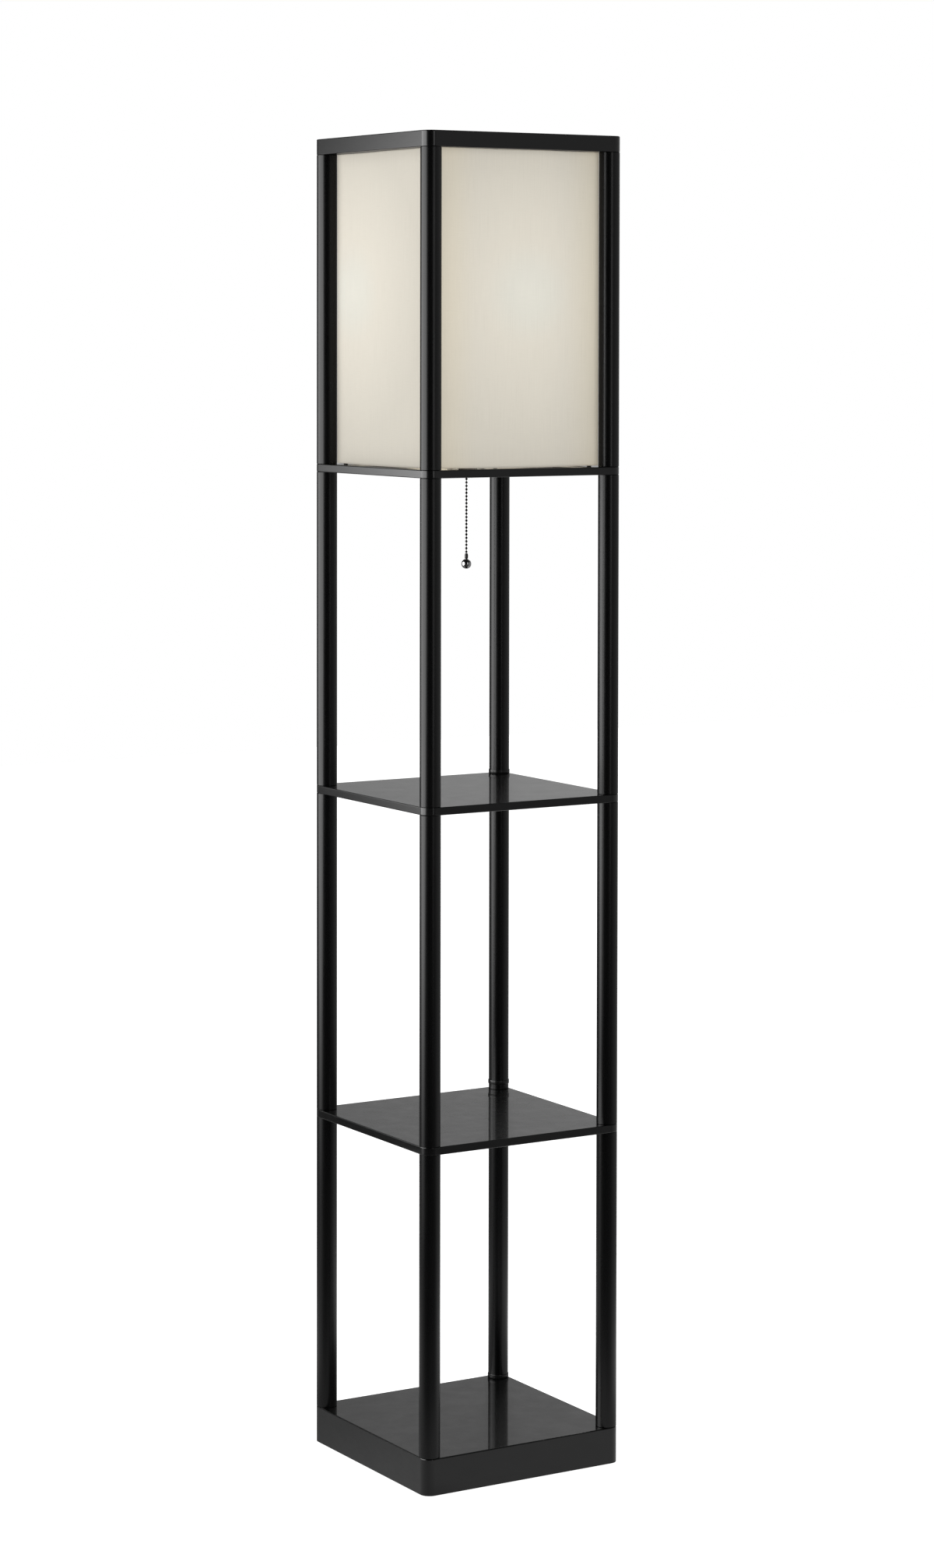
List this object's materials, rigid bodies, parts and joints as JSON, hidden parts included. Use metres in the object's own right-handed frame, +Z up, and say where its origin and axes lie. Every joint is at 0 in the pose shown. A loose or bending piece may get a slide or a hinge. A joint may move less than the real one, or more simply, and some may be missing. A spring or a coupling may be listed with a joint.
{
  "type": "shelf floor lamp",
  "caption": "Tall square floor lamp with open shelves between round corner posts, a weighted base, a lit square fabric shade under an open top frame, and a bead pull chain.",
  "frame": {"origin": "centre of the square footprint, on the floor", "axes": "+Z up along the posts; +X and +Y square to the sides; the cord outlet and the banded post are at the +X +Y corner"},
  "size_m": [0.2737, 0.2736, 1.6],
  "materials": {
    "post_enamel": "satin black enamel on steel tube",
    "base_enamel": "satin black enamel on pressed steel",
    "board_lacquer": "gloss black lacquer on fibreboard",
    "cover_sheet": "matt black sheet",
    "cast_weight": "rough cast cement",
    "foot_rubber": "matt black",
    "zinc_steel": "bright zinc plate",
    "tie_nylon": "black nylon band",
    "shade_cloth": "cream woven cloth",
    "shade_lining": "translucent white lining sheet",
    "wire_enamel": "black enamel on steel wire",
    "switch_resin": "moulded black resin",
    "socket_resin": "moulded black phenolic resin",
    "brass": "plain brass",
    "chain_chrome": "bright chrome plate",
    "ball_chrome": "bright chrome plate",
    "bulb_metal": "bare aluminium",
    "bulb_glass": "frosted white glass, lit"
  },
  "bodies": {
    "lamp_body": {"base_bolts": "zinc_steel", "base_cover": "cover_sheet", "base_cover_screws": "zinc_steel", "base_feet": "foot_rubber", "base_shell": "base_enamel", "base_washers": "zinc_steel", "base_weight": "cast_weight", "bracket_screws": "zinc_steel", "bulb_base": "bulb_metal", "bulb_envelope": "bulb_glass", "centre_contact": "brass", "cord_grommet": "foot_rubber", "lamp_deck": "board_lacquer", "lamp_stem": "zinc_steel", "lever_pin": "zinc_steel", "lower_shelf": "board_lacquer", "middle_shelf": "board_lacquer", "nozzle_nut": "brass", "post_1_front_left": "post_enamel", "post_1_front_right": "post_enamel", "post_1_rear_left": "post_enamel", "post_1_rear_right": "post_enamel", "post_2_front_left": "post_enamel", "post_2_front_right": "post_enamel", "post_2_rear_left": "post_enamel", "post_2_rear_right": "post_enamel", "post_3_front_left": "post_enamel", "post_3_front_right": "post_enamel", "post_3_rear_left": "post_enamel", "post_3_rear_right": "post_enamel", "post_4_front_left": "post_enamel", "post_4_front_right": "post_enamel", "post_4_rear_left": "post_enamel", "post_4_rear_right": "post_enamel", "post_inserts": "zinc_steel", "post_studs": "zinc_steel", "rear_post_ties": "tie_nylon", "screw_shell": "brass", "shade_fabric": "shade_cloth", "shade_legs": "wire_enamel", "shade_liner": "shade_lining", "shade_lower_ring": "wire_enamel", "shade_upper_ring": "wire_enamel", "socket_bracket": "zinc_steel", "socket_cap": "socket_resin", "socket_insulator": "socket_resin", "socket_shell": "socket_resin", "stem_nuts": "zinc_steel", "switch_base": "zinc_steel", "switch_contacts": "brass", "switch_housing": "switch_resin", "top_frame": "board_lacquer"},
    "pull_chain_upper": {"pull_chain_upper": "chain_chrome"},
    "pull_chain_middle": {"pull_chain_middle": "chain_chrome"},
    "pull_chain_lower": {"pull_chain_lower": "chain_chrome", "pull_connector": "chain_chrome", "pull_ball": "ball_chrome"},
    "switch_lever": {"switch_lever": "zinc_steel"},
    "switch_rotor": {"switch_rotor": "switch_resin"}
  },
  "joints": [
    {"name": "chain_pull", "type": "slide", "parent": "lamp_body", "child": "pull_chain_upper", "axis": [0, 0, -1], "range_m": [0, 0.00494], "stiffness_N_per_m": 600, "springref_m": -0.002},
    {"name": "chain_swing_x", "type": "hinge", "parent": "pull_chain_upper", "child": "pull_chain_middle", "pos_m": [0, 0, 1.1883], "axis": [1, 0, 0], "range_deg": [-40, 40]},
    {"name": "chain_swing_y", "type": "hinge", "parent": "pull_chain_middle", "child": "pull_chain_lower", "pos_m": [0, 0, 1.1841], "axis": [0, 1, 0], "range_deg": [-40, 40]},
    {"name": "lever_tilt", "type": "hinge", "parent": "lamp_body", "child": "switch_lever", "pos_m": [-0.008, 0, 1.2151], "axis": [0, 1, 0], "range_deg": [0, 36]},
    {"name": "rotor_turn", "type": "hinge", "parent": "lamp_body", "child": "switch_rotor", "pos_m": [0, 0, 1.2246], "axis": [0, 0, 1], "range_deg": [0, 90]}
  ],
  "couplings": [
    {"joint": "lever_tilt", "follows": "chain_pull", "rad_per_m": 127.09},
    {"joint": "rotor_turn", "follows": "chain_pull", "rad_per_m": 317.9}
  ]
}
